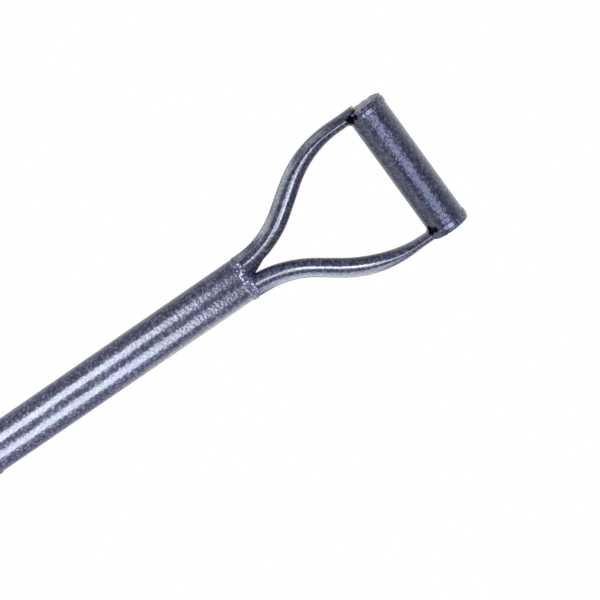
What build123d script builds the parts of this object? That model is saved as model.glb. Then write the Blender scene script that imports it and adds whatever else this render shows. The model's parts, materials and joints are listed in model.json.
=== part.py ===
"""Hand post driver: a steel sleeve with a solid striker and a welded D handle.

The origin is the centre of the open mouth. +Z runs up the tube to the handle, the cross grip
lies along X, and the object is symmetric about the XZ plane. "Left" is the -X side.
Every piece of weld metal is a solid of its own, cut to meet its neighbours face to face.
"""

import os
from math import cos, radians, sin

from build123d import *

os.makedirs("parts", exist_ok=True)

# ---------------------------------------------------------------- driving dimensions, mm

# Driver tube: 1-1/2 in tube, 36 in long
TUBE_RADIUS = 19.05
BORE_RADIUS = 16.0
TUBE_LENGTH = 914.4
MOUTH_INNER_CHAMFER = 1.0
MOUTH_OUTER_FILLET = 0.8

# Striker: a solid bar in the top foot of the bore, which is reamed for it. It is flush with the
# tube's end and stands on the small shoulder where the reaming stops.
STRIKER_LENGTH = 304.8
REAMED_RADIUS = 16.25
STRIKER_GAP = 0.1
STRIKER_NOSE_CHAMFER = 2.5
END_WELD_PREP = 2.0

# Plug welds: filled holes in the tube wall that hold the striker's lower end
PLUG_WELD_RADIUS = 6.0
PLUG_WELD_DROP = 272.0
PLUG_WELD_CROWN = 0.7
PLUG_WELD_ANGLES = (0, 90, 180, 270)

# Handle arms: 16 mm round bar in an S bend, pressed flat where it meets the grip
ARM_ROOT_OFFSET = 10.6
ARM_ROOT_STRAIGHT = 2.4
ARM_SPREAD_ANGLE = 35.5
# Where the section changes, as fractions of the arm's length: root, fork, round part, flat part
ARM_PLACES = (0.0, 0.16, 0.35, 0.58, 0.82, 1.0)
ARM_DEPTHS = (15.0, 15.4, 16.0, 16.0, 19.6, 19.6)
# The two arms are bent and pressed by hand, and differ a little
LEFT_ARM_WIDTHS = (18.2, 17.2, 17.2, 16.0, 12.4, 12.4)
LEFT_LOWER_BEND_RADIUS = 91.5
LEFT_UPPER_BEND_RADIUS = 98.0
LEFT_END_OFFSET = 60.8
RIGHT_ARM_WIDTHS = (18.2, 17.2, 16.0, 16.0, 10.2, 10.2)
RIGHT_LOWER_BEND_RADIUS = 89.0
RIGHT_UPPER_BEND_RADIUS = 106.0
RIGHT_END_OFFSET = 58.2

# Cross grip: 1 in pipe with a disc welded on each end
GRIP_RADIUS = 16.7
GRIP_WALL = 3.38
GRIP_LENGTH = 127.0
GRIP_HEIGHT = 163.5
DISC_THICKNESS = 6.35
DISC_WELD_PREP = 2.2
LEFT_DISC_EDGE_RADIUS = 0.8
RIGHT_DISC_EDGE_RADIUS = 2.4

# Weld beads
TUBE_END_BEAD_PROUD = 0.4
TUBE_END_BEAD_DROP = 2.6
TUBE_END_BEAD_CROWN = 2.2
TUBE_END_BEAD_SHOULDER_DROP = 0.65
END_LUMP_RADIUS = 6.0
END_LUMP_PROUD = 1.2
END_LUMP_DROP = 1.5
ROOT_MOUND_HEIGHT = 5.4
ROOT_MOUND_BASE_RADIUS = 18.4
ROOT_MOUND_TOP_RADIUS = 12.0
ROOT_MOUND_BULGE = 1.0
CROTCH_WELD_TOP = 11.6
CROTCH_WELD_WIDTH = 9.0
CROTCH_WELD_DEPTH = 9.0
# The crotch weld also climbs the left arm's inner side: x and height of its edge, bottom to top
CROTCH_WEDGE_EDGE = ((0.4, ROOT_MOUND_HEIGHT), (0.4, 12.0), (-2.0, 19.0), (-5.6, 28.0))
CROTCH_WEDGE_DEPTH = 8.0
DISC_BEAD_WIDTH = 5.1
DISC_BEAD_PROUD = 0.7
ARM_BEAD_RADIUS = 10.0
ARM_BEAD_Y = 4.3
ARM_BEAD_DROP = 11.1
ARM_BEAD_INNER_X = 55.6
LEFT_ARM_BEAD_OUTER_X = 62.4
RIGHT_ARM_BEAD_OUTER_X = 60.2
LIP_BEAD_X = 62.8
LIP_BEAD_RADIUS = 2.4
LIP_BEAD_LENGTH = 13.0
ARM_LIP_DROP = 8.5

# ---------------------------------------------------------------- derived places

TOP = TUBE_LENGTH
STRIKER_BOTTOM = TOP - STRIKER_LENGTH
STRIKER_RADIUS = REAMED_RADIUS - STRIKER_GAP
PLUG_WELD_Z = TOP - PLUG_WELD_DROP
GRIP_Z = TOP + GRIP_HEIGHT
GRIP_HALF = GRIP_LENGTH / 2
GRIP_TUBE_HALF = GRIP_HALF - DISC_THICKNESS
LEFT, RIGHT = -1, 1


def grip_plane(x):
    """A plane across the grip's axis at x, facing +X."""
    return Plane(origin=(x, 0, GRIP_Z), x_dir=(0, 1, 0), z_dir=(1, 0, 0))


def radial_plane(angle):
    """A plane through the tube's axis at the plug welds, facing outwards at an angle in degrees."""
    outwards = (cos(radians(angle)), sin(radians(angle)), 0)
    return Plane(origin=(0, 0, PLUG_WELD_Z), x_dir=(0, 0, 1), z_dir=outwards)


# ---------------------------------------------------------------- driver tube and striker

with BuildPart() as driver_tube:
    with BuildSketch():
        Circle(TUBE_RADIUS)
        Circle(BORE_RADIUS, mode=Mode.SUBTRACT)
    extrude(amount=TUBE_LENGTH)
    with BuildSketch(Plane.XY.offset(STRIKER_BOTTOM)):
        Circle(REAMED_RADIUS)
    extrude(amount=STRIKER_LENGTH, mode=Mode.SUBTRACT)
    circles = driver_tube.edges().filter_by(GeomType.CIRCLE).group_by(SortBy.RADIUS)
    bore_edges = circles[0].sort_by(Axis.Z)
    reamed_edges = circles[1].sort_by(Axis.Z)
    rim_edges = circles[-1].sort_by(Axis.Z)
    chamfer(bore_edges[0], length=MOUTH_INNER_CHAMFER)
    chamfer(reamed_edges[-1], length=END_WELD_PREP)
    fillet(rim_edges[0], radius=MOUTH_OUTER_FILLET)
    for weld_angle in PLUG_WELD_ANGLES:
        with BuildSketch(radial_plane(weld_angle)):
            Circle(PLUG_WELD_RADIUS)
        extrude(amount=2 * TUBE_RADIUS, mode=Mode.SUBTRACT)

with BuildPart() as striker:
    with BuildSketch(Plane.XY.offset(STRIKER_BOTTOM)):
        Circle(STRIKER_RADIUS)
    extrude(amount=STRIKER_LENGTH)
    striker_edges = striker.edges().filter_by(GeomType.CIRCLE).sort_by(Axis.Z)
    chamfer(striker_edges[0], length=STRIKER_NOSE_CHAMFER)
    chamfer(striker_edges[-1], length=END_WELD_PREP)

with BuildPart() as striker_plug_welds:
    for weld_angle in PLUG_WELD_ANGLES:
        with BuildSketch(radial_plane(weld_angle)):
            Circle(PLUG_WELD_RADIUS)
        extrude(amount=2 * TUBE_RADIUS)
    with BuildSketch(Plane.XY.offset(PLUG_WELD_Z - TUBE_RADIUS)):
        Circle(TUBE_RADIUS + PLUG_WELD_CROWN)
    extrude(amount=2 * TUBE_RADIUS, mode=Mode.INTERSECT)
    with BuildSketch(Plane.XY.offset(PLUG_WELD_Z - TUBE_RADIUS)):
        Circle(STRIKER_RADIUS)
    extrude(amount=2 * TUBE_RADIUS, mode=Mode.SUBTRACT)

# The bead round the tube's top edge ends in a lump on the +X side, outside the tube's wall.
with BuildPart() as end_lump:
    with Locations((TUBE_RADIUS + END_LUMP_PROUD - END_LUMP_RADIUS, 0, TOP - END_LUMP_DROP)):
        Sphere(END_LUMP_RADIUS)
    with BuildSketch(Plane.XY.offset(TOP)):
        Circle(TUBE_RADIUS)
    extrude(amount=-2 * END_LUMP_RADIUS, mode=Mode.SUBTRACT)
    with BuildSketch(Plane.XY.offset(TOP)):
        Circle(REAMED_RADIUS)
    extrude(amount=2 * END_LUMP_RADIUS, mode=Mode.SUBTRACT)

# The bead fills the groove between the tube and the striker.
with BuildPart() as tube_end_weld:
    with BuildSketch(Plane.XZ):
        with BuildLine():
            groove = (REAMED_RADIUS - STRIKER_GAP / 2, TOP - END_WELD_PREP)
            inner_toe = (STRIKER_RADIUS - END_WELD_PREP, TOP)
            crown = (REAMED_RADIUS + END_WELD_PREP, TOP + TUBE_END_BEAD_CROWN)
            shoulder = (TUBE_RADIUS + TUBE_END_BEAD_PROUD, TOP - TUBE_END_BEAD_SHOULDER_DROP)
            outer_toe = (TUBE_RADIUS, TOP - TUBE_END_BEAD_DROP)
            Line(groove, inner_toe)
            Spline(inner_toe, crown, shoulder, outer_toe)
            Line(outer_toe, (TUBE_RADIUS, TOP))
            Line((TUBE_RADIUS, TOP), (REAMED_RADIUS + END_WELD_PREP, TOP))
            Line((REAMED_RADIUS + END_WELD_PREP, TOP), groove)
        make_face()
    revolve(axis=Axis.Z)
    add(end_lump.part)
    add(striker.part, mode=Mode.SUBTRACT)
    add(driver_tube.part, mode=Mode.SUBTRACT)

# ---------------------------------------------------------------- cross grip

with BuildPart() as grip_tube:
    with BuildSketch(grip_plane(-GRIP_TUBE_HALF)):
        Circle(GRIP_RADIUS)
        Circle(GRIP_RADIUS - GRIP_WALL, mode=Mode.SUBTRACT)
    extrude(amount=2 * GRIP_TUBE_HALF)
    grip_circles = grip_tube.edges().filter_by(GeomType.CIRCLE).group_by(SortBy.RADIUS)
    chamfer(grip_circles[-1], length=DISC_WELD_PREP)


def make_grip_disc(side, edge_radius):
    """The disc that closes one end of the grip."""
    with BuildPart() as disc:
        with BuildSketch(grip_plane(side * GRIP_TUBE_HALF)):
            Circle(GRIP_RADIUS)
        extrude(amount=side * DISC_THICKNESS)
        rims = disc.edges().filter_by(GeomType.CIRCLE).sort_by(Axis.X)
        inner_rim = rims[0] if side == RIGHT else rims[-1]
        outer_rim = rims[-1] if side == RIGHT else rims[0]
        chamfer(inner_rim, length=DISC_WELD_PREP)
        fillet(outer_rim, radius=edge_radius)
    return disc.part


def make_disc_weld(side):
    """The ring bead that fills the groove between the grip tube and its end disc."""
    middle = side * GRIP_TUBE_HALF
    half_bead = DISC_BEAD_WIDTH / 2
    surface = GRIP_Z + GRIP_RADIUS
    with BuildPart() as ring:
        with BuildSketch(Plane.XZ):
            with BuildLine():
                root = (middle, surface - DISC_WELD_PREP)
                Polyline(
                    (middle - half_bead, surface),
                    (middle - DISC_WELD_PREP, surface),
                    root,
                    (middle + DISC_WELD_PREP, surface),
                    (middle + half_bead, surface),
                )
                ThreePointArc(
                    (middle + half_bead, surface),
                    (middle, surface + DISC_BEAD_PROUD),
                    (middle - half_bead, surface),
                )
            make_face()
        revolve(axis=Axis((0, 0, GRIP_Z), (1, 0, 0)))
    return ring.part


left_grip_disc = make_grip_disc(LEFT, LEFT_DISC_EDGE_RADIUS)
right_grip_disc = make_grip_disc(RIGHT, RIGHT_DISC_EDGE_RADIUS)
left_disc_weld = make_disc_weld(LEFT)
right_disc_weld = make_disc_weld(RIGHT)

# ---------------------------------------------------------------- handle arms


def make_handle_arm(side, lower_bend_radius, upper_bend_radius, end_offset, widths, disc_weld):
    """One S-bent arm, from the tube's end to the grip, coped round the grip."""
    spread = radians(ARM_SPREAD_ANGLE)
    bend_rise = (lower_bend_radius + upper_bend_radius) * (1 - cos(spread))
    slant_length = (end_offset - ARM_ROOT_OFFSET - bend_rise) / sin(spread)
    with BuildPart() as arm:
        with BuildLine(Plane.XZ) as route:
            root = Line(
                (side * ARM_ROOT_OFFSET, TOP), (side * ARM_ROOT_OFFSET, TOP + ARM_ROOT_STRAIGHT)
            )
            lower_bend = JernArc(
                start=root @ 1,
                tangent=root % 1,
                radius=lower_bend_radius,
                arc_size=-side * ARM_SPREAD_ANGLE,
            )
            slant = PolarLine(lower_bend @ 1, slant_length, direction=lower_bend % 1)
            upper_bend = JernArc(
                start=slant @ 1,
                tangent=slant % 1,
                radius=upper_bend_radius,
                arc_size=side * ARM_SPREAD_ANGLE,
            )
            Line(upper_bend @ 1, (side * end_offset, GRIP_Z - ARM_LIP_DROP))
        path = route.wires()[0]
        for place, width, depth in zip(ARM_PLACES, widths, ARM_DEPTHS):
            with BuildSketch(Plane(origin=path @ place, x_dir=(0, 1, 0), z_dir=path % place)):
                Ellipse(depth / 2, width / 2)
        sweep(path=path, multisection=True)
        add(tube_end_weld.part, mode=Mode.SUBTRACT)
        with BuildSketch(grip_plane(-GRIP_HALF)):
            Circle(GRIP_RADIUS)
        extrude(amount=GRIP_LENGTH, mode=Mode.SUBTRACT)
        add(disc_weld, mode=Mode.SUBTRACT)
    return arm.part


left_handle_arm = make_handle_arm(
    LEFT,
    LEFT_LOWER_BEND_RADIUS,
    LEFT_UPPER_BEND_RADIUS,
    LEFT_END_OFFSET,
    LEFT_ARM_WIDTHS,
    left_disc_weld,
)
right_handle_arm = make_handle_arm(
    RIGHT,
    RIGHT_LOWER_BEND_RADIUS,
    RIGHT_UPPER_BEND_RADIUS,
    RIGHT_END_OFFSET,
    RIGHT_ARM_WIDTHS,
    right_disc_weld,
)

# ---------------------------------------------------------------- handle welds

# The mound of weld metal round both arm roots, on the closed end of the tube.
with BuildPart() as arm_root_weld:
    with BuildSketch(Plane.XZ):
        with BuildLine():
            foot = (ROOT_MOUND_BASE_RADIUS, TOP)
            brow = (
                (ROOT_MOUND_BASE_RADIUS + ROOT_MOUND_TOP_RADIUS) / 2 + ROOT_MOUND_BULGE,
                TOP + ROOT_MOUND_HEIGHT / 2 + ROOT_MOUND_BULGE,
            )
            crest = (ROOT_MOUND_TOP_RADIUS, TOP + ROOT_MOUND_HEIGHT)
            Line((0, TOP), foot)
            ThreePointArc(foot, brow, crest)
            Line(crest, (0, TOP + ROOT_MOUND_HEIGHT))
            Line((0, TOP + ROOT_MOUND_HEIGHT), (0, TOP))
        make_face()
    revolve(axis=Axis.Z)
    add(tube_end_weld.part, mode=Mode.SUBTRACT)
    add(left_handle_arm, mode=Mode.SUBTRACT)
    add(right_handle_arm, mode=Mode.SUBTRACT)

# The web of weld metal in the fork between the arms, on top of the mound, with a wedge that fairs
# the left arm's inner side into it.
with BuildPart() as crotch_weld:
    with BuildSketch(Plane.XY.offset(TOP + ROOT_MOUND_HEIGHT)):
        Rectangle(CROTCH_WELD_WIDTH, CROTCH_WELD_DEPTH)
    extrude(amount=CROTCH_WELD_TOP - ROOT_MOUND_HEIGHT)
    with BuildSketch(Plane.XZ.offset(-CROTCH_WEDGE_DEPTH / 2)):
        with BuildLine():
            edge = [(x, TOP + height) for x, height in CROTCH_WEDGE_EDGE]
            Polyline(*edge, (edge[-1][0], edge[0][1]), close=True)
        make_face()
    extrude(amount=CROTCH_WEDGE_DEPTH)
    add(left_handle_arm, mode=Mode.SUBTRACT)
    add(right_handle_arm, mode=Mode.SUBTRACT)


def make_arm_grip_weld(side, outer_x, arm, disc_weld):
    """The beads in front of and behind one arm, where it meets the grip.

    The left arm stands out past the grip's end and has a third bead on its lip.
    """
    with BuildPart() as beads:
        for face in (-1, 1):
            with BuildSketch(Plane.YZ.offset(side * ARM_BEAD_INNER_X)):
                with Locations((face * ARM_BEAD_Y, GRIP_Z - ARM_BEAD_DROP)):
                    Circle(ARM_BEAD_RADIUS)
            extrude(amount=side * (outer_x - ARM_BEAD_INNER_X))
        if side == LEFT:
            with BuildSketch(Plane.XZ.offset(-LIP_BEAD_LENGTH / 2)):
                with Locations((side * LIP_BEAD_X, GRIP_Z - ARM_LIP_DROP)):
                    Circle(LIP_BEAD_RADIUS)
            extrude(amount=LIP_BEAD_LENGTH)
        with BuildSketch(grip_plane(-GRIP_HALF)):
            Circle(GRIP_RADIUS)
        extrude(amount=GRIP_LENGTH, mode=Mode.SUBTRACT)
        add(arm, mode=Mode.SUBTRACT)
        add(disc_weld, mode=Mode.SUBTRACT)
    return beads.part


left_arm_grip_weld = make_arm_grip_weld(
    LEFT, LEFT_ARM_BEAD_OUTER_X, left_handle_arm, left_disc_weld
)
right_arm_grip_weld = make_arm_grip_weld(
    RIGHT, RIGHT_ARM_BEAD_OUTER_X, right_handle_arm, right_disc_weld
)

# ---------------------------------------------------------------- files

pieces = {
    "driver_tube": driver_tube.part,
    "striker": striker.part,
    "striker_plug_welds": striker_plug_welds.part,
    "tube_end_weld": tube_end_weld.part,
    "left_handle_arm": left_handle_arm,
    "right_handle_arm": right_handle_arm,
    "arm_root_weld": arm_root_weld.part,
    "crotch_weld": crotch_weld.part,
    "grip_tube": grip_tube.part,
    "left_grip_disc": left_grip_disc,
    "right_grip_disc": right_grip_disc,
    "left_disc_weld": left_disc_weld,
    "right_disc_weld": right_disc_weld,
    "left_arm_grip_weld": left_arm_grip_weld,
    "right_arm_grip_weld": right_arm_grip_weld,
}
for name, piece in pieces.items():
    piece.label = name
    export_step(piece, f"parts/{name}.step")
    print(name, len(piece.solids()), "solid(s)", round(piece.volume), "mm3")
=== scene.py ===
"""Looks of the hand post driver: hammertone enamel, rippled weld beads, studio light and camera.

Everything is in metres, in the frame of the CAD model: +Z up the tube, the grip along X.
"""
import json
import math

import bmesh
import bpy
from mathutils import Matrix, Vector, noise


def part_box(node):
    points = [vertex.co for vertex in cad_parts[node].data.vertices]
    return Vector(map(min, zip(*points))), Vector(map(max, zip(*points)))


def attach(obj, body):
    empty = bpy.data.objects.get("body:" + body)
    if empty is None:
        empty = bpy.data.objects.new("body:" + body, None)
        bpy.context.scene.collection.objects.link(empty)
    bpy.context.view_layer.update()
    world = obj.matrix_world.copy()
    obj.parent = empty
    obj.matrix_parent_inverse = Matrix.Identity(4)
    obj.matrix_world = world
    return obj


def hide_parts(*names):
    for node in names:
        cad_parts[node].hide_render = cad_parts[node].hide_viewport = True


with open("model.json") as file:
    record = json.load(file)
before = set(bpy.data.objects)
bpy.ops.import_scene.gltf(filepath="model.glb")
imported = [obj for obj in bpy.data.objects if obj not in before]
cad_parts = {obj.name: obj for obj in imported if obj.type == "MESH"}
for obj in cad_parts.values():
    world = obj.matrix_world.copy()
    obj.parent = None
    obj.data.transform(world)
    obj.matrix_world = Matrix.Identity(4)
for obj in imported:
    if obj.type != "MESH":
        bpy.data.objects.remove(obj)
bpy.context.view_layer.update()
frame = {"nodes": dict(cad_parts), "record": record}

MM = 0.001

# ---------------------------------------------------------------- places read from the frame

tube_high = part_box("driver_tube")[1]
TUBE_RADIUS = tube_high.x
TOP = tube_high.z
grip_low, grip_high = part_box("grip_tube")
GRIP_Z = (grip_low.z + grip_high.z) / 2
GRIP_RADIUS = (grip_high.z - grip_low.z) / 2
JOINT_X = grip_high.x
GRIP_END_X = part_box("right_grip_disc")[1].x
MOUND_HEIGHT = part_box("arm_root_weld")[1].z - TOP
CROTCH_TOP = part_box("crotch_weld")[1].z

# ---------------------------------------------------------------- small helpers


def smoothstep(low, high, value):
    """0 below low, 1 above high, smooth between."""
    t = min(1.0, max(0.0, (value - low) / (high - low)))
    return t * t * (3 - 2 * t)


def rough(point, scale, seed):
    """Smooth noise from -1 to 1 at a point, with a lump size of scale metres."""
    return noise.noise(Vector(point) / scale + Vector((seed * 7.31, seed * 3.17, seed * 5.71)))


def add_piece(name, verts, faces, node, slot):
    """A smooth-shaded mesh that rides on the part and stands for a CAD node. Its slot names its material."""
    mesh = bpy.data.meshes.new(name)
    mesh.from_pydata(verts, [], faces)
    bm = bmesh.new()
    bm.from_mesh(mesh)
    bmesh.ops.recalc_face_normals(bm, faces=bm.faces)
    bm.to_mesh(mesh)
    bm.free()
    mesh.polygons.foreach_set("use_smooth", [True] * len(mesh.polygons))
    mesh.materials.append(materials[slot])
    piece = bpy.data.objects.new(name, mesh)
    bpy.context.scene.collection.objects.link(piece)
    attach(piece, "root")
    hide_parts(node)


# ---------------------------------------------------------------- materials


class Graph:
    """A short way to write a shader node tree."""

    def __init__(self, name):
        self.material = bpy.data.materials.new(name)
        self.material.use_nodes = True
        self.nodes = self.material.node_tree.nodes
        self.links = self.material.node_tree.links
        self.shader = self.nodes["Principled BSDF"]

    def link(self, source, target):
        self.links.new(source, target)

    def coords(self):
        return self.nodes.new("ShaderNodeTexCoord").outputs["Object"]

    def noise(self, vector, scale, detail=2.0, roughness=0.5, output="Fac"):
        node = self.nodes.new("ShaderNodeTexNoise")
        node.inputs["Scale"].default_value = scale
        node.inputs["Detail"].default_value = detail
        node.inputs["Roughness"].default_value = roughness
        self.link(vector, node.inputs["Vector"])
        return node.outputs[output]

    def domes(self, vector, scale, smoothness):
        """Distance from the middle of the nearest cell, with soft seams between the cells."""
        node = self.nodes.new("ShaderNodeTexVoronoi")
        node.feature = "SMOOTH_F1"
        node.inputs["Scale"].default_value = scale
        node.inputs["Smoothness"].default_value = smoothness
        self.link(vector, node.inputs["Vector"])
        return node.outputs["Distance"]

    def ramp(self, value, stops):
        node = self.nodes.new("ShaderNodeValToRGB")
        elements = node.color_ramp.elements
        while len(elements) < len(stops):
            elements.new(0.5)
        for element, (place, colour) in zip(elements, stops):
            element.position = place
            element.color = (*colour, 1.0)
        self.link(value, node.inputs["Fac"])
        return node.outputs["Color"]

    def spread(self, value, low, high, new_low, new_high):
        """low to high becomes new_low to new_high, and stops there."""
        node = self.nodes.new("ShaderNodeMapRange")
        for key, number in (("From Min", low), ("From Max", high), ("To Min", new_low), ("To Max", new_high)):
            node.inputs[key].default_value = number
        self.link(value, node.inputs["Value"])
        return node.outputs["Result"]

    def math(self, operation, first, second=0.0):
        node = self.nodes.new("ShaderNodeMath")
        node.operation = operation
        for socket, value in zip(node.inputs, (first, second)):
            if isinstance(value, (int, float)):
                socket.default_value = value
            else:
                self.link(value, socket)
        return node.outputs["Value"]

    def mix(self, factor, first, second):
        node = self.nodes.new("ShaderNodeMix")
        node.data_type = "RGBA"
        self.link(factor, node.inputs["Factor"])
        for key, value in (("A", first), ("B", second)):
            socket = [s for s in node.inputs if s.name == key and s.type == "RGBA"][0]
            if isinstance(value, tuple):
                socket.default_value = (*value, 1.0)
            else:
                self.link(value, socket)
        return [s for s in node.outputs if s.type == "RGBA"][0]

    def vector_add(self, first, second, scale):
        """first + scale * second"""
        wobble = self.nodes.new("ShaderNodeVectorMath")
        wobble.operation = "SCALE"
        wobble.inputs["Scale"].default_value = scale
        self.link(second, wobble.inputs[0])
        total = self.nodes.new("ShaderNodeVectorMath")
        total.operation = "ADD"
        self.link(first, total.inputs[0])
        self.link(wobble.outputs["Vector"], total.inputs[1])
        return total.outputs["Vector"]

    def split(self, vector):
        node = self.nodes.new("ShaderNodeSeparateXYZ")
        self.link(vector, node.inputs["Vector"])
        return node.outputs

    def bump(self, height, distance, normal=None):
        node = self.nodes.new("ShaderNodeBump")
        node.inputs["Distance"].default_value = distance
        self.link(height, node.inputs["Height"])
        if normal is not None:
            self.link(normal, node.inputs["Normal"])
        return node.outputs["Normal"]


CELL = 2.7 * MM
PAINT_DARK = (0.014, 0.014, 0.034)
PAINT_MID = (0.042, 0.042, 0.084)
PAINT_LIGHT = (0.115, 0.118, 0.20)
# Scale of each layer of noise against the cells, and what it adds to the paint's shade
WANDER_SCALE, WANDER_REACH = 0.5, 0.9
TONE_SCALE, DRIFT_SCALE, FINE_SCALE = 1.25, 0.11, 3.2
CELL_SHADE, DRIFT_SHADE = -0.55, 0.18
CELL_SOFTNESS = 0.35
PAINT_IOR = 1.75
PAINT_GLOSS_TINT = (0.80, 0.88, 1.0, 1.0)
# Centre and radius of the round parts of the painted shade in the inner corners, left and right
PAINTED_SHADE_CORNERS = (
    ((-56.8 * MM, 13.2 * MM, GRIP_Z - 10.6 * MM), 4.6 * MM),
    ((-57.2 * MM, 15.9 * MM, GRIP_Z - 5.2 * MM), 3.1 * MM),
    ((54.8 * MM, 12.6 * MM, GRIP_Z - 12.0 * MM), 4.6 * MM),
    ((56.2 * MM, 15.5 * MM, GRIP_Z - 6.6 * MM), 3.1 * MM),
)
# Near-black colour painted on as shade in those corners
PAINTED_SHADE_COLOUR = (0.004, 0.004, 0.006)
CORNER_RAGGEDNESS = 4.5 * MM
CORNER_NOISE_SCALE = 260.0
# The painted shade fades out between these shares of the radius
CORNER_CORE, CORNER_FRINGE = 0.75, 1.2
PAINT_SPECULAR = 0.5


def hammertone(name, cell=CELL, depth=0.13 * MM, smooth=0.30, polished=0.17, bare_inside=False):
    """Hammertone enamel: rounded cells a few millimetres wide, darker where the paint pools.

    cell: width of a cell. depth: height of the bump. smooth, polished: roughness of dull and glossy spots.
    """
    g = Graph(name)
    place = g.coords()
    wander = g.noise(place, WANDER_SCALE / cell, output="Color")
    bent = g.vector_add(place, wander, cell * WANDER_REACH)
    domes = g.domes(bent, 1 / cell, CELL_SOFTNESS)
    tone = g.noise(bent, TONE_SCALE / cell, 3.0, 0.55)
    drift = g.noise(place, DRIFT_SCALE / cell)
    mottle = g.math("ADD", g.math("MULTIPLY", domes, CELL_SHADE), tone)
    mottle = g.math("ADD", mottle, g.math("MULTIPLY", drift, DRIFT_SHADE))
    colour = g.ramp(mottle, ((0.16, PAINT_DARK), (0.36, PAINT_MID), (0.58, PAINT_LIGHT)))
    height = g.math("ADD", g.math("MULTIPLY", domes, -1.0), g.math("MULTIPLY", tone, 0.55))
    fine = g.noise(place, FINE_SCALE / cell)
    normal = g.bump(height, depth, g.bump(fine, depth * 0.25))
    gloss = g.spread(tone, 0.3, 0.7, smooth, polished)
    g.shader.inputs["IOR"].default_value = PAINT_IOR
    g.shader.inputs["Specular Tint"].default_value = PAINT_GLOSS_TINT
    if bare_inside:
        colour, gloss = bare_steel_inside(g, place, colour, gloss)
    else:
        # painted shade in the inner corners under the grip
        colour = paint_corner_shade(g, place, colour)
    g.link(colour, g.shader.inputs["Base Color"])
    g.link(gloss, g.shader.inputs["Roughness"])
    g.link(normal, g.shader.inputs["Normal"])
    return g.material


def paint_corner_shade(g, place, colour):
    """Painted shade: the inner corners where the arms run under the grip, front and back, are painted near
    black and lose their gloss.
    """
    x, y, z = g.split(place)
    folded = g.nodes.new("ShaderNodeCombineXYZ")
    for value, socket in zip((x, g.math("ABSOLUTE", y), z), folded.inputs):
        g.link(value, socket)
    ragged = g.vector_add(folded.outputs["Vector"], g.noise(place, CORNER_NOISE_SCALE), CORNER_RAGGEDNESS)
    outside = None
    for centre, radius in PAINTED_SHADE_CORNERS:
        away = g.nodes.new("ShaderNodeVectorMath")
        away.operation = "DISTANCE"
        g.link(ragged, away.inputs[0])
        away.inputs[1].default_value = centre
        beyond = g.spread(away.outputs["Value"], radius * CORNER_CORE, radius * CORNER_FRINGE, 0.0, 1.0)
        outside = beyond if outside is None else g.math("MULTIPLY", outside, beyond)
    # the painted shade also takes the gloss away there
    g.link(g.math("MULTIPLY", outside, PAINT_SPECULAR), g.shader.inputs["Specular IOR Level"])
    return g.mix(outside, PAINTED_SHADE_COLOUR, colour)


# Where the paint ends inside the mouth, measured inwards from the tube's surface
PAINT_EDGE, PAINT_END = 0.9 * MM, 1.2 * MM
STEEL_DARK, STEEL_LIGHT = (0.10, 0.095, 0.09), (0.30, 0.29, 0.28)
RUST = (0.16, 0.065, 0.028)
DRAG_STRETCH = 0.04
DRAG_SCALE, RUST_SCALE = 900.0, 60.0


def bare_steel_inside(g, place, colour, gloss):
    """Inside the bore the tube is bare: mill scale, drag marks along the tube and a little rust."""
    x, y = g.split(place)[:2]
    square = g.math("ADD", g.math("POWER", x, 2.0), g.math("POWER", y, 2.0))
    radius = g.math("SQRT", square)
    inside = g.spread(radius, TUBE_RADIUS - PAINT_EDGE, TUBE_RADIUS - PAINT_END, 0.0, 1.0)
    stretched = g.nodes.new("ShaderNodeMapping")
    stretched.inputs["Scale"].default_value = (1.0, 1.0, DRAG_STRETCH)
    g.link(place, stretched.inputs["Vector"])
    drag = g.noise(stretched.outputs["Vector"], DRAG_SCALE, 4.0, 0.6)
    rust = g.noise(place, RUST_SCALE, 5.0, 0.65)
    steel = g.ramp(drag, ((0.30, STEEL_DARK), (0.70, STEEL_LIGHT)))
    rusty = g.mix(g.spread(rust, 0.52, 0.66, 0.0, 0.8), steel, RUST)
    metal = g.spread(rust, 0.50, 0.62, 0.9, 0.2)
    g.link(g.math("MULTIPLY", inside, metal), g.shader.inputs["Metallic"])
    roughness = g.nodes.new("ShaderNodeMix")
    g.link(inside, roughness.inputs["Factor"])
    g.link(gloss, roughness.inputs["A"])
    g.link(g.spread(drag, 0.3, 0.7, 0.30, 0.55), roughness.inputs["B"])
    return g.mix(inside, colour, rusty), roughness.outputs["Result"]


SCALE_DARK, SCALE_LIGHT = (0.14, 0.13, 0.125), (0.42, 0.41, 0.40)
DENT_DEPTH = 0.35 * MM
DENT_SCALE, STAIN_SCALE = 260.0, 70.0


def battered_steel(name):
    """The striker: a turned bar, dark with scale, its nose dented and burnished by posts."""
    g = Graph(name)
    place = g.coords()
    dents = g.domes(place, DENT_SCALE, 0.7)
    stain = g.noise(place, STAIN_SCALE, 5.0, 0.6)
    colour = g.ramp(stain, ((0.35, SCALE_DARK), (0.62, SCALE_LIGHT)))
    g.link(colour, g.shader.inputs["Base Color"])
    g.link(g.spread(stain, 0.35, 0.65, 0.55, 0.28), g.shader.inputs["Roughness"])
    g.shader.inputs["Metallic"].default_value = 0.95
    g.link(g.bump(dents, DENT_DEPTH), g.shader.inputs["Normal"])
    return g.material


materials = {
    "tube_enamel": hammertone("tube_enamel", bare_inside=True),
    "arm_enamel": hammertone("arm_enamel", depth=0.06 * MM, smooth=0.26, polished=0.17),
    "grip_enamel": hammertone("grip_enamel", depth=0.30 * MM),
    "weld_enamel": hammertone("weld_enamel", cell=2.2 * MM, depth=0.015 * MM),
    "striker_steel": battered_steel("striker_steel"),
}
for subpart in frame["record"]["subparts"]:
    mesh = frame["nodes"][subpart["node"]].data
    mesh.materials.clear()
    mesh.materials.append(materials[subpart["material_slot"]])

# ---------------------------------------------------------------- camera

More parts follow.
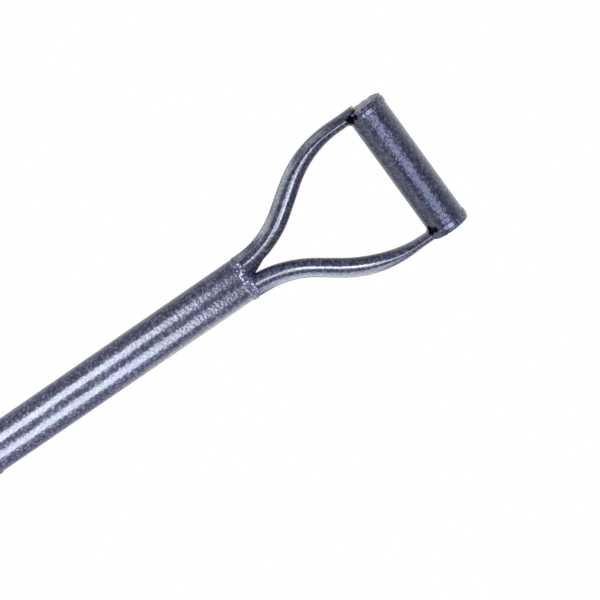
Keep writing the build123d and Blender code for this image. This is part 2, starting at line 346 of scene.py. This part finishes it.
VIEW_AZIMUTH = math.radians(10.92)
VIEW_ELEVATION = math.radians(11.7)
VIEW_ROLL = math.radians(55.72)
VIEW_DISTANCE = 2.633
LENS_MM = 192.0
SENSOR_MM = 36.0
CLIP_END = 100.0
# From the middle of the tube's top end to the point that the camera looks at, as seen in the picture
AIM_RIGHT = 45.4 * MM
AIM_DOWN = 18.3 * MM


def make_camera():
    """A long lens, rolled so that the driver lies across the frame with its grip at the upper right."""
    forward = Vector(
        (
            math.sin(VIEW_AZIMUTH) * math.cos(VIEW_ELEVATION),
            math.cos(VIEW_AZIMUTH) * math.cos(VIEW_ELEVATION),
            -math.sin(VIEW_ELEVATION),
        )
    )
    level_right = Vector((math.cos(VIEW_AZIMUTH), -math.sin(VIEW_AZIMUTH), 0))
    level_up = level_right.cross(forward)
    right = level_right * math.cos(VIEW_ROLL) + level_up * math.sin(VIEW_ROLL)
    up = level_up * math.cos(VIEW_ROLL) - level_right * math.sin(VIEW_ROLL)
    aim = Vector((0, 0, TOP)) + right * AIM_RIGHT - up * AIM_DOWN
    camera = bpy.data.objects.new("camera", bpy.data.cameras.new("camera"))
    camera.data.lens = LENS_MM
    camera.data.sensor_width = SENSOR_MM
    camera.data.clip_end = CLIP_END
    turn = Matrix((right, up, -forward)).transposed().to_4x4()
    camera.matrix_world = Matrix.Translation(aim - forward * VIEW_DISTANCE) @ turn
    bpy.context.scene.collection.objects.link(camera)
    bpy.context.scene.camera = camera


make_camera()

# ---------------------------------------------------------------- weld beads

LEFT, RIGHT = -1, 1

# A strip of bead: columns across it, how deep its foot is buried and half of that foot's width
BEAD_COLUMNS = 17
BEAD_EMBED = 0.8 * MM
BEAD_HALF_FOOT = 0.42
# Shares of its height: a slow swelling and small lumps, each with the length that it varies over.
# Shares of a scale's pitch: how far a scale bows in the middle and how far it wanders.
BEAD_SWELL, BEAD_SWELL_LENGTH = 0.14, 7.0 * MM
BEAD_LUMP, BEAD_LUMP_LENGTH = 0.20, 2.4 * MM
SCALE_BOW = 0.30
SCALE_WANDER, SCALE_WANDER_LENGTH = 0.35, 9.0 * MM


def ripple(travelled, pitch, bow, depth):
    """Height factor of overlapping weld scales: a steep front and a long fall, from 1 - depth to 1."""
    phase = travelled / pitch + bow
    saw = phase - math.floor(phase)
    return 1 - depth * (1 - saw) ** 2.5 - 0.6 * depth * smoothstep(0.86, 1.0, saw)


def bead_strip(stations, width, height, pitch, depth, seed, limit):
    """Vertices and faces of a closed loop of rippled weld bead.

    stations: (place, across, outwards, size) along the bead, evenly spaced.
    pitch, depth: length of a weld scale, and its step as a share of the bead's height.
    limit: moves a vertex back into the space that the bead may fill.
    """
    verts, faces = [], []
    travelled, last = 0.0, stations[0][0]
    for place, across, outwards, size in stations:
        travelled += (place - last).length
        last = place
        swell = 1 + BEAD_SWELL * rough(place, BEAD_SWELL_LENGTH, seed)
        wander = SCALE_WANDER * rough(place, SCALE_WANDER_LENGTH, seed + 1)
        for column in range(BEAD_COLUMNS):
            t = 2 * column / (BEAD_COLUMNS - 1) - 1
            lump = 1 + BEAD_LUMP * rough(place + across * (t * width / 2), BEAD_LUMP_LENGTH, seed + 2)
            arc = max(0.0, 1 - t * t) ** 0.75
            scales = ripple(travelled, pitch, SCALE_BOW * t * t + wander, depth)
            rise = height * size * swell * arc * scales * lump
            verts.append(limit(place + across * (t * width / 2 * size * swell) + outwards * rise))
        for way in (1, -1):
            foot = place + across * (way * width * BEAD_HALF_FOOT * size) - outwards * BEAD_EMBED
            verts.append(limit(foot))
    ring = BEAD_COLUMNS + 2
    count = len(stations)
    for i in range(count):
        a, b = i * ring, ((i + 1) % count) * ring
        for j in range(ring):
            k = (j + 1) % ring
            faces.append((a + j, a + k, b + k, b + j))
    return verts, faces


def lathe(profile, steps, shape):
    """A closed solid turned round +Z from (radius, height) pairs that start and end on the axis.

    shape moves each of its points to where it belongs.
    """
    verts = [shape(Vector((0, 0, profile[0][1])))]
    faces = []
    for radius, height in profile[1:-1]:
        for j in range(steps):
            angle = 2 * math.pi * j / steps
            verts.append(shape(Vector((radius * math.cos(angle), radius * math.sin(angle), height))))
    verts.append(shape(Vector((0, 0, profile[-1][1]))))
    rings, last = len(profile) - 2, len(verts) - 1
    for j in range(steps):
        k = (j + 1) % steps
        faces.append((0, 1 + k, 1 + j))
        faces.append((last, last - steps + j, last - steps + k))
        for i in range(rings - 1):
            a, b = 1 + i * steps, 1 + (i + 1) * steps
            faces.append((a + j, a + k, b + k, b + j))
    return verts, faces


# Bead over the tube's top edge. Its lump, on the +X side, stands further out and lower.
END_BEAD_WIDTH = 6.6 * MM
END_BEAD_HEIGHT = 2.2 * MM
END_BEAD_PITCH = 5.0 * MM
END_BEAD_RIPPLE = 0.15
END_BEAD_INSET = 2.3 * MM
END_BEAD_RISE = 0.3 * MM
END_BEAD_PROUD = 0.12 * MM
END_BEAD_SIZE = 0.95
END_LUMP_OUT = 0.8 * MM
END_LUMP_DOWN = 0.9 * MM
END_LUMP_PROUD = 1.0 * MM
END_LUMP_SWELL = 0.25
# Cosines of the angle from +X where the lump's line and its own outline start and are full
END_LUMP_LINE = (0.82, 0.98)
END_LUMP_OUTLINE = (0.86, 0.99)


def tube_end_bead():
    """The bead over the tube's top edge: flush with the tube but for one lump on the +X side."""
    steps = 480
    stations = []
    for i in range(steps):
        angle = 2 * math.pi * i / steps
        radial = Vector((math.cos(angle), math.sin(angle), 0))
        lump = smoothstep(*END_LUMP_LINE, math.cos(angle))
        outwards = (radial * 0.70 + Vector((0, 0, 0.71))).normalized()
        across = (radial * 0.71 - Vector((0, 0, 0.70))).normalized()
        place = radial * (TUBE_RADIUS - END_BEAD_INSET + END_LUMP_OUT * lump)
        place += Vector((0, 0, TOP + END_BEAD_RISE - END_LUMP_DOWN * lump))
        stations.append((place, across, outwards, END_BEAD_SIZE + END_LUMP_SWELL * lump))

    def inside(point):
        reach = math.hypot(point.x, point.y)
        lump = smoothstep(*END_LUMP_OUTLINE, point.x / reach)
        scale = min(1.0, (TUBE_RADIUS + END_BEAD_PROUD + END_LUMP_PROUD * lump) / reach)
        return Vector((point.x * scale, point.y * scale, point.z))

    return bead_strip(
        stations, END_BEAD_WIDTH, END_BEAD_HEIGHT, END_BEAD_PITCH, END_BEAD_RIPPLE, 1, inside
    )


# Mound round the arm roots: how far inside the tube's edge it ends and how deep it is buried
MOUND_INSET = 1.2 * MM
MOUND_EMBED = 0.5 * MM
# Round each arm's axis, distance is measured in an ellipse from the arm's surface
ARM_ROOT_OFFSET = 10.6 * MM
ROOT_STRETCH_X, ROOT_STRETCH_Y = 1.10, 0.92
ROOT_RADIUS = 8.0 * MM
FILLET_TOP_REACH, FILLET_TOE_REACH = -1.5 * MM, 7.0 * MM
FILLET_MIDDLE_RADIUS = 11.0 * MM
ROOT_SCALE_PITCH = 5.2 * MM
ROOT_SCALE_BOW = 0.1 / MM
ROOT_SCALE_DEPTH = 0.05
ROOT_SCALES_START, ROOT_SCALES_FULL = -1.0 * MM, 2.0 * MM
ROOT_LUMP, ROOT_LUMP_LENGTH = 0.04, 3.2 * MM
# Ridges of its front bead, in mm: x from, x to, y from, y to, height
ROOT_RIDGES = (
    (-12.0, -9.6, -12.8, -14.2, 3.2),
    (-9.6, -6.0, -14.4, -14.9, 3.9),
    (1.2, 9.8, -15.2, -14.2, 3.9),
)
RIDGE_WIDTH = 1.8


def ridge_rise(x, y):
    """Height that the ridges add at a place given in mm."""
    rise = 0.0
    for x_from, x_to, y_from, y_to, height in ROOT_RIDGES:
        along = min(1.0, max(0.0, (x - x_from) / (x_to - x_from)))
        from_x = x - x_from - along * (x_to - x_from)
        from_y = y - y_from - along * (y_to - y_from)
        rise += height * MM * math.exp(-((math.hypot(from_x, from_y) / RIDGE_WIDTH) ** 2))
    return rise


def root_mound():
    """Fillet beads round both arm roots, as one height field on the tube's closed end."""
    rings, spokes = 64, 300
    outer = TUBE_RADIUS - MOUND_INSET
    profile = [(0, TOP - MOUND_EMBED), (outer, TOP - MOUND_EMBED)]
    profile += [(outer * i / rings, TOP + MOUND_EMBED) for i in range(rings, -1, -1)]

    def from_root(x, y, side):
        return math.hypot((x - side * ARM_ROOT_OFFSET) / ROOT_STRETCH_X, y / ROOT_STRETCH_Y)

    def raise_top(point):
        if point.z < TOP:
            return point
        x, y = point.x, point.y
        reach = min(from_root(x, y, side) for side in (LEFT, RIGHT)) - ROOT_RADIUS
        leg = 1 - smoothstep(FILLET_TOP_REACH, FILLET_TOE_REACH, reach)
        around = math.atan2(y, abs(x) - ARM_ROOT_OFFSET) * FILLET_MIDDLE_RADIUS
        step = ROOT_SCALE_DEPTH * smoothstep(ROOT_SCALES_START, ROOT_SCALES_FULL, reach)
        scales = ripple(around, ROOT_SCALE_PITCH, ROOT_SCALE_BOW * reach, step)
        lump = 1 + ROOT_LUMP * rough(point, ROOT_LUMP_LENGTH, 5)
        rise = MOUND_HEIGHT * leg * scales * lump + ridge_rise(x / MM, y / MM)
        return Vector((x, y, point.z + min(MOUND_HEIGHT - MOUND_EMBED, rise)))

    return lathe(profile, spokes, raise_top)


# Weld metal in the fork: half its width and depth, its middle, and its roof from right toe to left toe
FORK_FILL_HALF_WIDTH = 4.2 * MM
FORK_FILL_HALF_DEPTH = 4.32 * MM
FORK_FILL_X = -1.9 * MM
FORK_FILL_BURIED = 3.5 * MM
FORK_RIGHT_TOE, FORK_LEFT_TOE = 1.8 * MM, -6.2 * MM
FORK_ROOF_LOW = TOP + 9.4 * MM
FORK_ROOF_HIGH = CROTCH_TOP - 1.0 * MM
FORK_ROOF_CROWN = 2.0736 * MM
FORK_LUMP, FORK_LUMP_LENGTH = 0.5 * MM, 2.4 * MM


def crotch_fill():
    """Weld metal in the fork between the arms. Its top runs up the left arm's inner side."""
    rings = 30
    profile = [(0, 0), (1, 0)]
    profile += [(i / rings, 1) for i in range(rings, -1, -1)]
    bottom = TOP + MOUND_HEIGHT - FORK_FILL_BURIED

    def shape(point):
        x = point.x * FORK_FILL_HALF_WIDTH + FORK_FILL_X
        y = point.y * FORK_FILL_HALF_DEPTH
        if point.z == 0:
            return Vector((x, y, bottom))
        climb = min(1.0, max(0.0, (FORK_RIGHT_TOE - x) / (FORK_RIGHT_TOE - FORK_LEFT_TOE)))
        roof = FORK_ROOF_LOW + (FORK_ROOF_HIGH - FORK_ROOF_LOW) * climb - FORK_ROOF_CROWN * point.y**2
        return Vector((x, y, roof + FORK_LUMP * rough(Vector((x, y, roof)), FORK_LUMP_LENGTH, 9)))

    return lathe(profile, 90, shape)


# Ring bead between the grip tube and an end disc. It may stand out further on its lower half.
DISC_BEAD_WIDTH = 5.8 * MM
DISC_BEAD_HEIGHT = 1.6 * MM
DISC_BEAD_PITCH = 8.5 * MM
DISC_BEAD_RIPPLE = 0.62
DISC_BEAD_SUNK = 0.25 * MM
DISC_BEAD_PROUD = 0.65 * MM
DISC_BEAD_PROUD_BELOW = 1.15 * MM


def disc_bead(side):
    """The ring bead between the grip tube and its end disc, in big overlapping lumps."""
    steps = 480
    stations = []
    for i in range(steps):
        angle = 2 * math.pi * i / steps
        outwards = Vector((0, math.cos(angle), math.sin(angle)))
        place = Vector((side * JOINT_X, 0, GRIP_Z)) + outwards * (GRIP_RADIUS - DISC_BEAD_SUNK)
        stations.append((place, Vector((1, 0, 0)), outwards, 1.0))

    def inside(point):
        reach = math.hypot(point.y, point.z - GRIP_Z)
        proud = DISC_BEAD_PROUD_BELOW if point.z < GRIP_Z else DISC_BEAD_PROUD
        scale = min(1.0, (GRIP_RADIUS + proud) / reach)
        return Vector((point.x, point.y * scale, GRIP_Z + (point.z - GRIP_Z) * scale))

    return bead_strip(
        stations, DISC_BEAD_WIDTH, DISC_BEAD_HEIGHT, DISC_BEAD_PITCH, DISC_BEAD_RIPPLE, 20 + side, inside
    )


# Bead round an arm's flat end, under the grip
ARM_END_OFFSETS = {LEFT: 60.8 * MM, RIGHT: 58.2 * MM}
ARM_END_HALF_WIDTHS = {LEFT: 6.2 * MM, RIGHT: 5.1 * MM}
ARM_END_HALF_DEPTH = 9.8 * MM
ARM_BEAD_WIDTH = 6.4 * MM
ARM_BEAD_HEIGHT = 1.0 * MM
ARM_BEAD_PITCH = 4.6 * MM
ARM_BEAD_RIPPLE = 0.34
ARM_BEAD_PROUD = 0.2 * MM
ARM_BEAD_END_GAP = 0.9 * MM
# Its size against 1: more in front and behind, less on the outer side
ARM_BEAD_MORE, ARM_BEAD_LESS = 0.55, 0.45


def arm_grip_bead(side):
    """The fillet bead all round an arm's end, along the curve where it meets the grip."""
    steps = 360
    half_width = ARM_END_HALF_WIDTHS[side]
    weld_low, weld_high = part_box("left_arm_grip_weld" if side == LEFT else "right_arm_grip_weld")
    most_x = abs(weld_low.x if side == LEFT else weld_high.x)
    stations = []
    for i in range(steps):
        angle = 2 * math.pi * i / steps
        x = min(ARM_END_OFFSETS[side] + half_width * math.cos(angle), GRIP_END_X - ARM_BEAD_END_GAP)
        y = ARM_END_HALF_DEPTH * math.sin(angle)
        depth = math.sqrt(GRIP_RADIUS**2 - y * y)
        arm_face = Vector((side * math.cos(angle) / half_width, math.sin(angle) / ARM_END_HALF_DEPTH, 0))
        arm_face.normalize()
        grip_face = Vector((0, y / GRIP_RADIUS, -depth / GRIP_RADIUS))
        outwards = (arm_face + grip_face * 0.8).normalized()
        across = (grip_face - arm_face).normalized()
        across = (across - outwards * across.dot(outwards)).normalized()
        place = Vector((side * x, y, GRIP_Z - depth)) + outwards * ARM_BEAD_PROUD
        size = 1.0 + ARM_BEAD_MORE * math.sin(angle) ** 2
        size -= ARM_BEAD_LESS * smoothstep(0.3, 1.0, math.cos(angle))
        stations.append((place, across, outwards, size))

    def inside(point):
        return Vector((side * min(abs(point.x), most_x), point.y, point.z))

    verts, faces = bead_strip(
        stations, ARM_BEAD_WIDTH, ARM_BEAD_HEIGHT, ARM_BEAD_PITCH, ARM_BEAD_RIPPLE, 40 + side, inside
    )
    if side == LEFT:
        lip_verts, lip_faces = lip_lump()
        faces += [tuple(len(verts) + i for i in face) for face in lip_faces]
        verts += lip_verts
    return verts, faces


# Bead on the left arm's lip: how far it is sunk into the disc's face, its drop below the grip's axis
LIP_LUMP_SUNK = 0.2 * MM
LIP_LUMP_DROP = 8.4 * MM
LIP_LUMP_RADII = Vector((1.1, 4.2, 1.5)) * MM
LIP_LUMP_DENT, LIP_LUMP_DENT_LENGTH = 0.18, 2.0 * MM


def lip_lump():
    """The short bead on the left arm's lip, against the face of the end disc."""
    rings = 24
    profile = [(math.sin(math.pi * i / rings), -math.cos(math.pi * i / rings)) for i in range(rings + 1)]
    centre = Vector((LEFT * (GRIP_END_X - LIP_LUMP_SUNK), 0, GRIP_Z - LIP_LUMP_DROP))

    def lump(way):
        dent = rough(Vector((LEFT, way.y * 6, way.z)) * MM, LIP_LUMP_DENT_LENGTH, 60)
        size = 1 + LIP_LUMP_DENT * dent
        return centre + way * LIP_LUMP_RADII * size

    return lathe(profile, 60, lump)


# End discs: radius of the outer edge, rings on the side wall, and where the outer face is dented.
# Depth of the dents and of the dishing there, and how far the whole surface is drawn in.
DISC_EDGE_RADII = {LEFT: 0.8 * MM, RIGHT: 2.4 * MM}
DISC_RIM_GAP = 0.05 * MM
DISC_SIDE_RINGS = (0.0, 1.2 * MM, 2.4 * MM)
DISC_FACE_START, DISC_FACE_FULL = 1.5 * MM, 0.2 * MM
DISC_DENT, DISC_DENT_LENGTH = 0.5 * MM, 3.4 * MM
DISC_DISHING = 0.4 * MM
DISC_PULL, DISC_PULL_LENGTH = 0.012, 4.0 * MM


def grip_disc(side):
    """An end disc with the dents of its grinding, its outer edge broken by hand."""
    inner, outer = JOINT_X, GRIP_END_X
    rim = GRIP_RADIUS - DISC_RIM_GAP
    edge = DISC_EDGE_RADII[side]
    corner = [math.pi / 2 * i / 8 for i in range(9)]
    profile = [(0, inner), (rim * 0.5, inner)]
    profile += [(rim, inner + up) for up in DISC_SIDE_RINGS]
    profile += [(rim - edge * (1 - math.cos(a)), outer - edge * (1 - math.sin(a))) for a in corner]
    profile += [((rim - edge) * i / 30, outer) for i in range(29, -1, -1)]

    def dent(point):
        reach = math.hypot(point.x, point.y)
        face = smoothstep(outer - DISC_FACE_START, outer - DISC_FACE_FULL, point.z)
        depth = DISC_DENT * (1 + rough(Vector((point.x, point.y, 0)), DISC_DENT_LENGTH, 70 + side))
        dished = DISC_DISHING * smoothstep(0.2, 0.9, reach / rim)
        pull = 1 - DISC_PULL * (1 + rough(point, DISC_PULL_LENGTH, 80 + side))
        along = point.z - face * (depth + dished)
        return Vector((side * along, point.x * pull, GRIP_Z + point.y * pull))

    return lathe(profile, 180, dent)


add_piece("tube_end_bead", *tube_end_bead(), "tube_end_weld", "weld_enamel")
add_piece("arm_root_beads", *root_mound(), "arm_root_weld", "weld_enamel")
add_piece("crotch_fill", *crotch_fill(), "crotch_weld", "weld_enamel")
for side, word in ((LEFT, "left"), (RIGHT, "right")):
    add_piece(f"{word}_disc_bead", *disc_bead(side), f"{word}_disc_weld", "weld_enamel")
    add_piece(f"{word}_arm_bead", *arm_grip_bead(side), f"{word}_arm_grip_weld", "weld_enamel")
    add_piece(f"{word}_disc", *grip_disc(side), f"{word}_grip_disc", "grip_enamel")

# ---------------------------------------------------------------- floor and light

FLOOR_RADIUS = 1.3
FLOOR_GREYS = ((0.3, (0.80, 0.80, 0.80)), (0.7, (0.84, 0.84, 0.84)))
FLOOR_SUN_ANGLE = math.radians(50)
FLOOR_SUN_STRENGTH = 1.5


def make_floor():
    """A round sheet of pale paper under the mouth, faintly clouded."""
    bm = bmesh.new()
    bmesh.ops.create_circle(bm, cap_ends=True, radius=FLOOR_RADIUS, segments=160)
    mesh = bpy.data.meshes.new("floor")
    bm.to_mesh(mesh)
    bm.free()
    g = Graph("floor_paper")
    g.link(g.ramp(g.noise(g.coords(), 3.0), FLOOR_GREYS), g.shader.inputs["Base Color"])
    g.shader.inputs["Roughness"].default_value = 0.9
    mesh.materials.append(g.material)
    floor = bpy.data.objects.new("floor", mesh)
    bpy.context.scene.collection.objects.link(floor)


def receivers_of(group, names):
    """A collection that says which pieces a light reaches."""
    receivers = bpy.data.collections.new("lit_" + group)
    for name in names:
        receivers.objects.link(bpy.data.objects[name])
    return receivers


def light_floor():
    """An even, soft light from straight above. It reaches only the floor."""
    data = bpy.data.lights.new("floor_sun", "SUN")
    data.angle = FLOOR_SUN_ANGLE
    data.energy = FLOOR_SUN_STRENGTH
    light = bpy.data.objects.new("floor_sun", data)
    light.light_linking.receiver_collection = receivers_of("floor", ["floor"])
    bpy.context.scene.collection.objects.link(light)


# Each softbox lights only the pieces of its group, because one set of cards can't give all the highlights
SOFTBOXES = {
    # name: what it lights, azimuth in degrees, distance, low edge, high edge, width, radiance, colour
    "left_strip": ("tube", -42.5, 0.60, 0.34, 0.72, 0.35, 12.0, (1, 1, 1)),
    "right_strip": ("tube", 36.5, 0.55, 0.36, 0.745, 0.43, 10.5, (1, 1, 1)),
    "tube_right": ("tube", 115, 0.8, 0.58, 1.00, 0.8, 1.4, (1, 1, 1)),
    "weld_key": ("welds", -14, 0.30, 1.16, 2.60, 0.36, 18.0, (1, 1, 1)),
    "weld_side": ("welds", 60, 0.80, 0.60, 1.30, 0.50, 4.0, (1, 1, 1)),
    "left_arm_low": ("left_arm", 14, 1.5, 0.54, 0.80, 0.36, 15.0, (1, 1, 1)),
    "left_root_side": ("left_arm", -80, 0.8, 0.62, 0.82, 1.3, 2.4, (1, 1, 1)),
    "left_arm_key": ("left_arm", 25.5, 1.5, 0.93, 1.25, 0.50, 19.0, (1, 1, 1)),
    "left_arm_side": ("left_arm", -85, 0.8, 0.02, 0.42, 1.7, 3.4, (1, 1, 1)),
    "right_arm_low": ("right_arm", -8, 1.5, 0.54, 0.80, 0.44, 13.0, (1, 1, 1)),
    "right_root_side": ("right_arm", 66, 0.8, 0.64, 0.80, 1.0, 3.0, (1, 1, 1)),
    "right_arm_key": ("right_arm", -14.5, 1.5, 0.93, 1.25, 0.56, 24.0, (1, 1, 1)),
    "right_arm_side": ("right_arm", 82, 0.8, 0.20, 0.65, 1.3, 4.3, (1, 1, 1)),
    "grip_card": ("grip", 11, 1.5, 0.84, 2.10, 0.6, 5.6, (0.70, 0.75, 1)),
    "grip_end_key": ("grip_ends", 11, 1.5, 1.10, 1.60, 0.6, 14.0, (1, 1, 1)),
    "grip_low": ("grip", 11, 0.9, 0.04, 0.12, 0.8, 2.2, (1, 1, 1)),
}
WORLD_RAMPS = {
    # name: direction, cosine where it starts, cosine where it is full, colour times strength.
    # The fill is full in every direction.
    "fill": ((0, 0, 1), -3.0, -2.0, (0.34, 0.34, 0.34)),
    "back": ((0, 1, -0.2), 0.2, 0.9, (0.55, 0.55, 0.55)),
    "top_back": ((0, 0.55, 0.83), 0.62, 0.97, (0.9, 0.9, 0.9)),
}
DISCS = ("left_disc", "right_disc", "left_disc_bead", "right_disc_bead")
LIT_PIECES = {
    "tube": ("driver_tube", "striker", "striker_plug_welds", "tube_end_bead"),
    "welds": ("tube_end_bead", "arm_root_beads"),
    "left_arm": ("left_handle_arm", "left_disc"),
    "right_arm": ("right_handle_arm", "arm_root_beads"),
    "grip": ("grip_tube", *DISCS, "left_arm_bead", "right_arm_bead"),
    "grip_ends": DISCS,
}


def softbox(name, receivers, azimuth, distance, low, high, width, radiance, colour):
    """A rectangular light that faces the driver.

    Azimuth 0 is in front, on the -Y side, and grows towards +X.
    """
    angle = math.radians(azimuth)
    data = bpy.data.lights.new(name, "AREA")
    data.shape = "RECTANGLE"
    data.size = width
    data.size_y = high - low
    data.energy = radiance * math.pi * width * (high - low)
    data.color = colour
    light = bpy.data.objects.new(name, data)
    light.location = (distance * math.sin(angle), -distance * math.cos(angle), (low + high) / 2)
    light.rotation_euler = (math.radians(90), 0, angle)
    light.visible_camera = False
    light.light_linking.receiver_collection = receivers
    bpy.context.scene.collection.objects.link(light)


def make_world():
    """White to the camera. As light, a sum of soft patches of sky, each round its own direction."""
    world = bpy.data.worlds.new("studio")
    world.use_nodes = True
    nodes, links = world.node_tree.nodes, world.node_tree.links
    place = nodes.new("ShaderNodeTexCoord")
    total = None
    for direction, start, full, colour in WORLD_RAMPS.values():
        cosine = nodes.new("ShaderNodeVectorMath")
        cosine.operation = "DOT_PRODUCT"
        links.new(place.outputs["Generated"], cosine.inputs[0])
        cosine.inputs[1].default_value = Vector(direction).normalized()
        ramp = nodes.new("ShaderNodeMapRange")
        ramp.interpolation_type = "SMOOTHSTEP"
        ramp.inputs["From Min"].default_value = start
        ramp.inputs["From Max"].default_value = full
        links.new(cosine.outputs["Value"], ramp.inputs["Value"])
        tint = nodes.new("ShaderNodeVectorMath")
        tint.operation = "MULTIPLY_ADD"
        links.new(ramp.outputs["Result"], tint.inputs[0])
        tint.inputs[1].default_value = colour
        if total is not None:
            links.new(total, tint.inputs[2])
        total = tint.outputs["Vector"]
    light = nodes["Background"]
    links.new(total, light.inputs["Color"])
    seen = nodes.new("ShaderNodeLightPath")
    white = nodes.new("ShaderNodeBackground")
    white.inputs["Color"].default_value = (1, 1, 1, 1)
    choose = nodes.new("ShaderNodeMixShader")
    links.new(seen.outputs["Is Camera Ray"], choose.inputs["Fac"])
    links.new(light.outputs["Background"], choose.inputs[1])
    links.new(white.outputs["Background"], choose.inputs[2])
    links.new(choose.outputs["Shader"], nodes["World Output"].inputs["Surface"])
    bpy.context.scene.world = world


make_floor()
light_floor()
make_world()
receivers = {group: receivers_of(group, names) for group, names in LIT_PIECES.items()}
for name, (group, *values) in SOFTBOXES.items():
    softbox(name, receivers[group], *values)
bpy.context.scene.view_settings.view_transform = "Standard"
